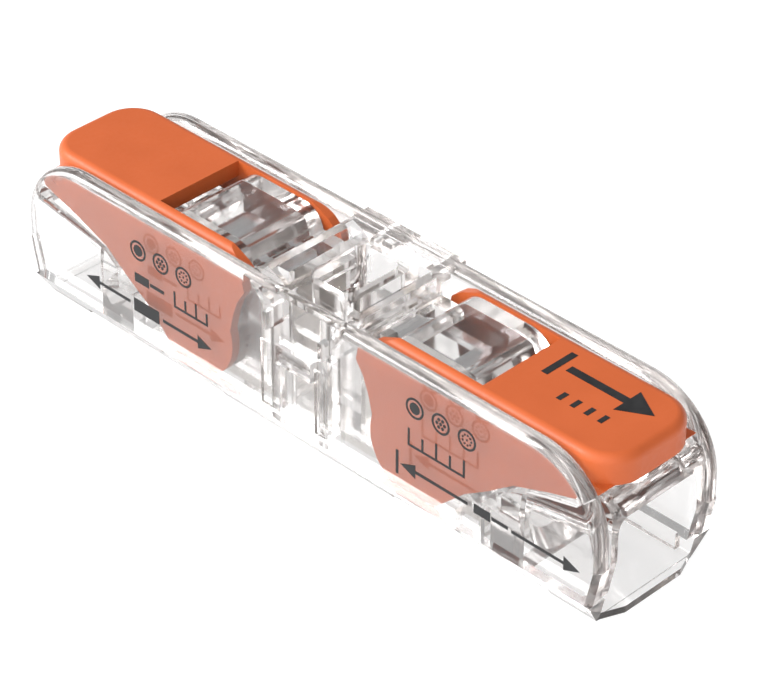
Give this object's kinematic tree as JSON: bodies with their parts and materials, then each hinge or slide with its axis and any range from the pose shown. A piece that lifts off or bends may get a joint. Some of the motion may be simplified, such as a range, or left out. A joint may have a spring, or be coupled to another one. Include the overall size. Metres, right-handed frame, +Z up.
{
  "type": "lever wire connector",
  "caption": "Inline lever wire connector: clear snap-together case, an orange lever at each end, spring clamps on a shared current bar and a round conductor guide behind each mouth.",
  "frame": {"origin": "centre of the footprint on the resting face of the base cover", "axes": "+X along the case towards the right wire entry, +Y across it, +Z up through the levers"},
  "size_m": [0.0356, 0.0076, 0.008],
  "materials": {
    "clear_case": "clear polished polycarbonate",
    "lever": "orange moulded nylon, fine satin",
    "current_bar": "tin-plated copper, satin grey",
    "spring": "bright rolled stainless spring steel"
  },
  "bodies": {
    "case": {"housing_shell": "clear_case", "base_cover": "clear_case", "current_bar": "current_bar", "clamp_spring_left": "spring", "clamp_spring_right": "spring"},
    "lever_left": {"lever_left": "lever"},
    "lever_right": {"lever_right": "lever"},
    "clamp_leg_left": {"clamp_leg_left": "spring"},
    "clamp_leg_right": {"clamp_leg_right": "spring"}
  },
  "joints": [
    {"name": "lever_right_hinge", "type": "hinge", "parent": "case", "child": "lever_right", "pos_m": [0.0068, 0, 0.0034], "axis": [0, -1, 0], "range_deg": [0, 76]},
    {"name": "lever_left_hinge", "type": "hinge", "parent": "case", "child": "lever_left", "pos_m": [-0.0068, 0, 0.0034], "axis": [0, 1, 0], "range_deg": [0, 76]},
    {"name": "clamp_right_flex", "type": "hinge", "parent": "case", "child": "clamp_leg_right", "pos_m": [0.0078, 0, 0.00585], "axis": [0, 1, 0], "range_deg": [0, 60]},
    {"name": "clamp_left_flex", "type": "hinge", "parent": "case", "child": "clamp_leg_left", "pos_m": [-0.0078, 0, 0.00585], "axis": [0, -1, 0], "range_deg": [0, 60]}
  ],
  "couplings": [
    {"joint": "clamp_right_flex", "follows": "lever_right_hinge", "ratio": 0.78947},
    {"joint": "clamp_left_flex", "follows": "lever_left_hinge", "ratio": 0.78947}
  ]
}
